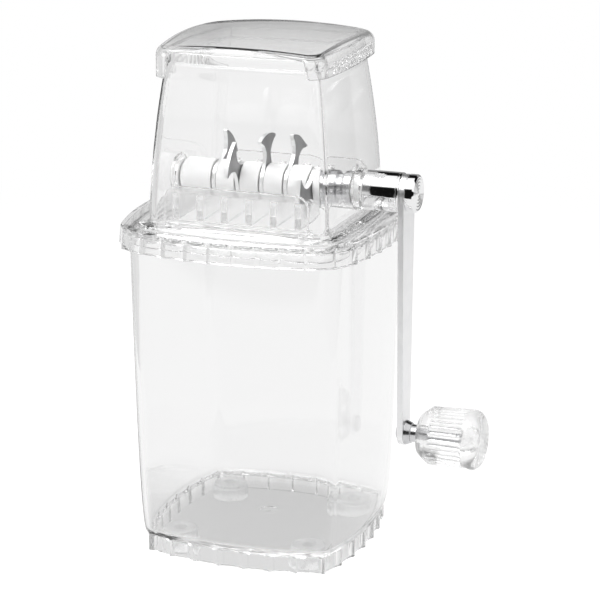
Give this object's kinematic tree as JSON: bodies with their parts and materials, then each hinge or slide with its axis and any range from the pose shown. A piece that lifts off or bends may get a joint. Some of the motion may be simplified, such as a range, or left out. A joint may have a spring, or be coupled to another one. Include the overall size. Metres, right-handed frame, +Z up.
{
  "type": "manual ice crusher",
  "caption": "Clear hand-cranked ice crusher: lidded hopper with a clawed rotor between toothed combs, over a square-based clear ice container.",
  "frame": {"origin": "centre of the resting plane, on the container's upright axis", "axes": "+Z up, +X along the rotor towards the crank, -Y the front"},
  "size_m": [0.1724, 0.1278, 0.25],
  "materials": {
    "clear_plastic": "polished clear moulded plastic",
    "clear_silicone": "translucent satin silicone",
    "white_plastic": "satin moulded white plastic",
    "blade_steel": "stamped and tumbled stainless steel",
    "shaft_steel": "turned stainless steel",
    "chrome": "bright chrome plate",
    "arm_metal": "satin ground flat bar",
    "clear_knob": "clear moulded plastic with fine flutes"
  },
  "bodies": {
    "container": {"container": "clear_plastic", "foot_front_left": "clear_silicone", "foot_front_right": "clear_silicone", "foot_back_left": "clear_silicone", "foot_back_right": "clear_silicone"},
    "hopper": {"hopper_housing": "clear_plastic", "front_comb": "clear_plastic", "rear_comb": "clear_plastic", "left_bearing_bush": "white_plastic", "right_bearing_bush": "white_plastic"},
    "lid": {"lid": "clear_plastic"},
    "rotor": {"rotor_shaft": "shaft_steel", "drum_left_end": "white_plastic", "drum_spacer_1": "white_plastic", "drum_spacer_2": "white_plastic", "drum_spacer_3": "white_plastic", "drum_spacer_4": "white_plastic", "drum_right_end": "white_plastic", "claw_blade_1": "blade_steel", "claw_blade_2": "blade_steel", "claw_blade_3": "blade_steel", "claw_blade_4": "blade_steel", "claw_blade_5": "blade_steel", "thrust_hub": "shaft_steel", "crank_sleeve": "chrome", "crank_arm": "arm_metal", "cap_nut": "chrome", "knob_spindle": "shaft_steel", "knob_washer": "shaft_steel"},
    "knob": {"crank_knob": "clear_knob"}
  },
  "joints": [
    {"name": "hopper_lift", "type": "slide", "parent": "container", "child": "hopper", "axis": [0, 0, 1], "range_m": [0, 0.06]},
    {"name": "lid_lift", "type": "slide", "parent": "hopper", "child": "lid", "axis": [0, 0, 1], "range_m": [0, 0.05]},
    {"name": "crank_spin", "type": "hinge", "parent": "hopper", "child": "rotor", "pos_m": [0, 0, 0.177], "axis": [1, 0, 0], "continuous": true},
    {"name": "knob_spin", "type": "hinge", "parent": "rotor", "child": "knob", "pos_m": [0.09, 0, 0.0597], "axis": [1, 0, 0], "continuous": true}
  ]
}
